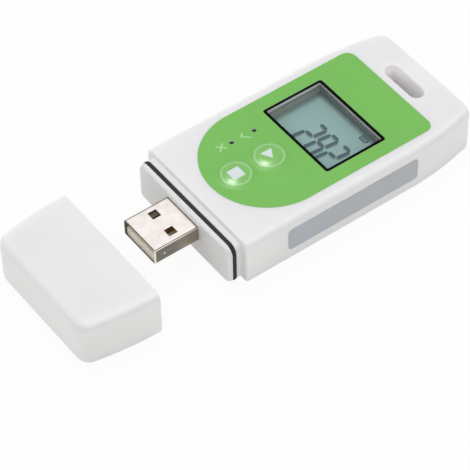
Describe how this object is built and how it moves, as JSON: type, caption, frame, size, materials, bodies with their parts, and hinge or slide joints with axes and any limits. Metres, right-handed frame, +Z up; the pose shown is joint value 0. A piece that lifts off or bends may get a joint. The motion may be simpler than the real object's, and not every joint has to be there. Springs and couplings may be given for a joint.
{
  "type": "temperature data logger",
  "caption": "Flat white data logger with a USB plug, a small display window, round keys, a lanyard slot and a pull-off cap shown taken off.",
  "frame": {"origin": "middle of the logger body's underside", "axes": "+Y from the plug to the lanyard slot, along the logger's length; +Z up, out of the display; +X to the right seen from the plug's end"},
  "size_m": [0.0386, 0.1111, 0.0132],
  "materials": {
    "housing": "fine satin moulding, pale grey-white",
    "rubber": "matte black-grey rubber",
    "screw_steel": "bright zinc-plated steel",
    "plug_steel": "nickel-plated sheet steel, satin",
    "plug_insulator": "tan moulded nylon",
    "contact_gold": "gold-plated",
    "label_green": "printed film, satin leaf green",
    "label_grey": "grey printed film",
    "black_print": "black print on the window",
    "window_clear": "clear polished plastic",
    "holder_black": "dark moulded plastic",
    "display_glass": "grey-green reflective display",
    "reflector": "matte foil",
    "connector_rubber": "soft pink silicone",
    "board_green": "green solder mask",
    "lamp_white": "pale resin",
    "chip_black": "black moulded epoxy",
    "chip_brown": "ceramic with tinned ends"
  },
  "bodies": {
    "logger": {"main_housing": "housing", "back_cover": "housing", "cover_gasket": "rubber", "cover_screws": "screw_steel", "neck_seal": "rubber", "usb_shell": "plug_steel", "usb_insulator": "plug_insulator", "usb_contacts": "contact_gold", "front_label": "label_green", "side_label": "label_grey", "window_border": "black_print", "display_window": "window_clear", "display_holder": "holder_black", "display_glass": "display_glass", "display_reflector": "reflector", "display_connectors": "connector_rubber", "circuit_board": "board_green", "board_screws": "screw_steel", "start_switch": "screw_steel", "stop_switch": "screw_steel", "indicator_lamps": "lamp_white", "light_guides": "window_clear", "microcontroller": "chip_black", "memory_chip": "chip_black", "clock_crystal": "screw_steel", "chip_components": "chip_brown", "temperature_sensor": "chip_black", "coin_cell": "screw_steel", "cell_holder": "holder_black", "cell_strap": "screw_steel", "cell_pad": "contact_gold"},
    "cap": {"protective_cap": "housing"},
    "start_key": {"start_button": "label_green", "start_plunger": "holder_black"},
    "stop_key": {"stop_button": "label_green", "stop_plunger": "holder_black"}
  },
  "joints": [
    {"name": "cap_slide", "type": "slide", "parent": "logger", "child": "cap", "axis": [0, 1, 0], "range_m": [0, 0.02345]},
    {"name": "start_press", "type": "slide", "parent": "logger", "child": "start_key", "axis": [0, 0, -1], "range_m": [0, 0.0003], "stiffness_N_per_m": 5000},
    {"name": "stop_press", "type": "slide", "parent": "logger", "child": "stop_key", "axis": [0, 0, -1], "range_m": [0, 0.0003], "stiffness_N_per_m": 5000}
  ]
}
